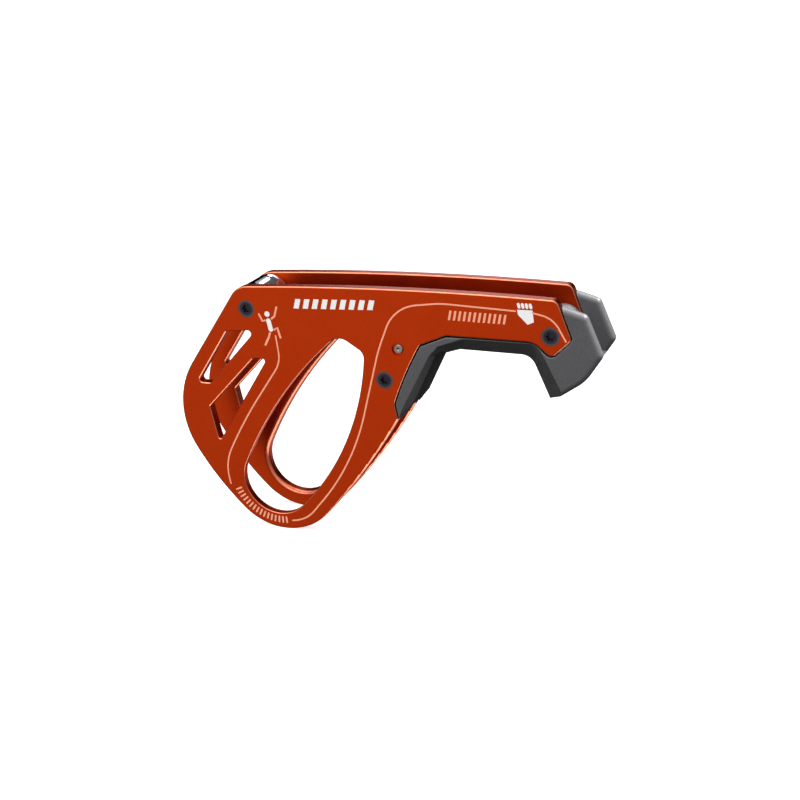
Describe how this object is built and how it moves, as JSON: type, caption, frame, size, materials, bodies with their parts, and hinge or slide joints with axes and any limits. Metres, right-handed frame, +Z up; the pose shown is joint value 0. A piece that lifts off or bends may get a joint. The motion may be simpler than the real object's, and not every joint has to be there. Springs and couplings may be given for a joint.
{
  "type": "belay brake",
  "caption": "Passive assisted belay brake: two open side plates on a polished rope bar, with a steel brake insert and a hooked thumb handle between them.",
  "frame": {"origin": "middle of the rope bar, on its axis and on the mid-plane between the plates", "axes": "+X along the top edge of the plates from the rope bar to the hook, +Z up, Y across the plates with the front plate on the -Y side"},
  "size_m": [0.1184, 0.0184, 0.071],
  "materials": {
    "anodised": "orange satin anodised",
    "polished_steel": "mirror polished stainless",
    "insert_steel": "bead blasted stainless",
    "sleeve_steel": "turned",
    "pin_steel": "turned, satin",
    "screw_steel": "black oxide",
    "handle_moulding": "fine spark-eroded dark grey"
  },
  "bodies": {
    "root": {"front_side_plate": "anodised", "rear_side_plate": "anodised", "rope_bar": "polished_steel", "brake_insert": "insert_steel", "handle_sleeve": "sleeve_steel", "locating_pin": "pin_steel", "handle_body": "handle_moulding", "rope_bar_screw_front": "screw_steel", "rope_bar_screw_rear": "screw_steel", "brake_insert_screw_front": "screw_steel", "brake_insert_screw_rear": "screw_steel", "handle_screw_front": "screw_steel", "handle_screw_rear": "screw_steel"}
  },
  "joints": []
}
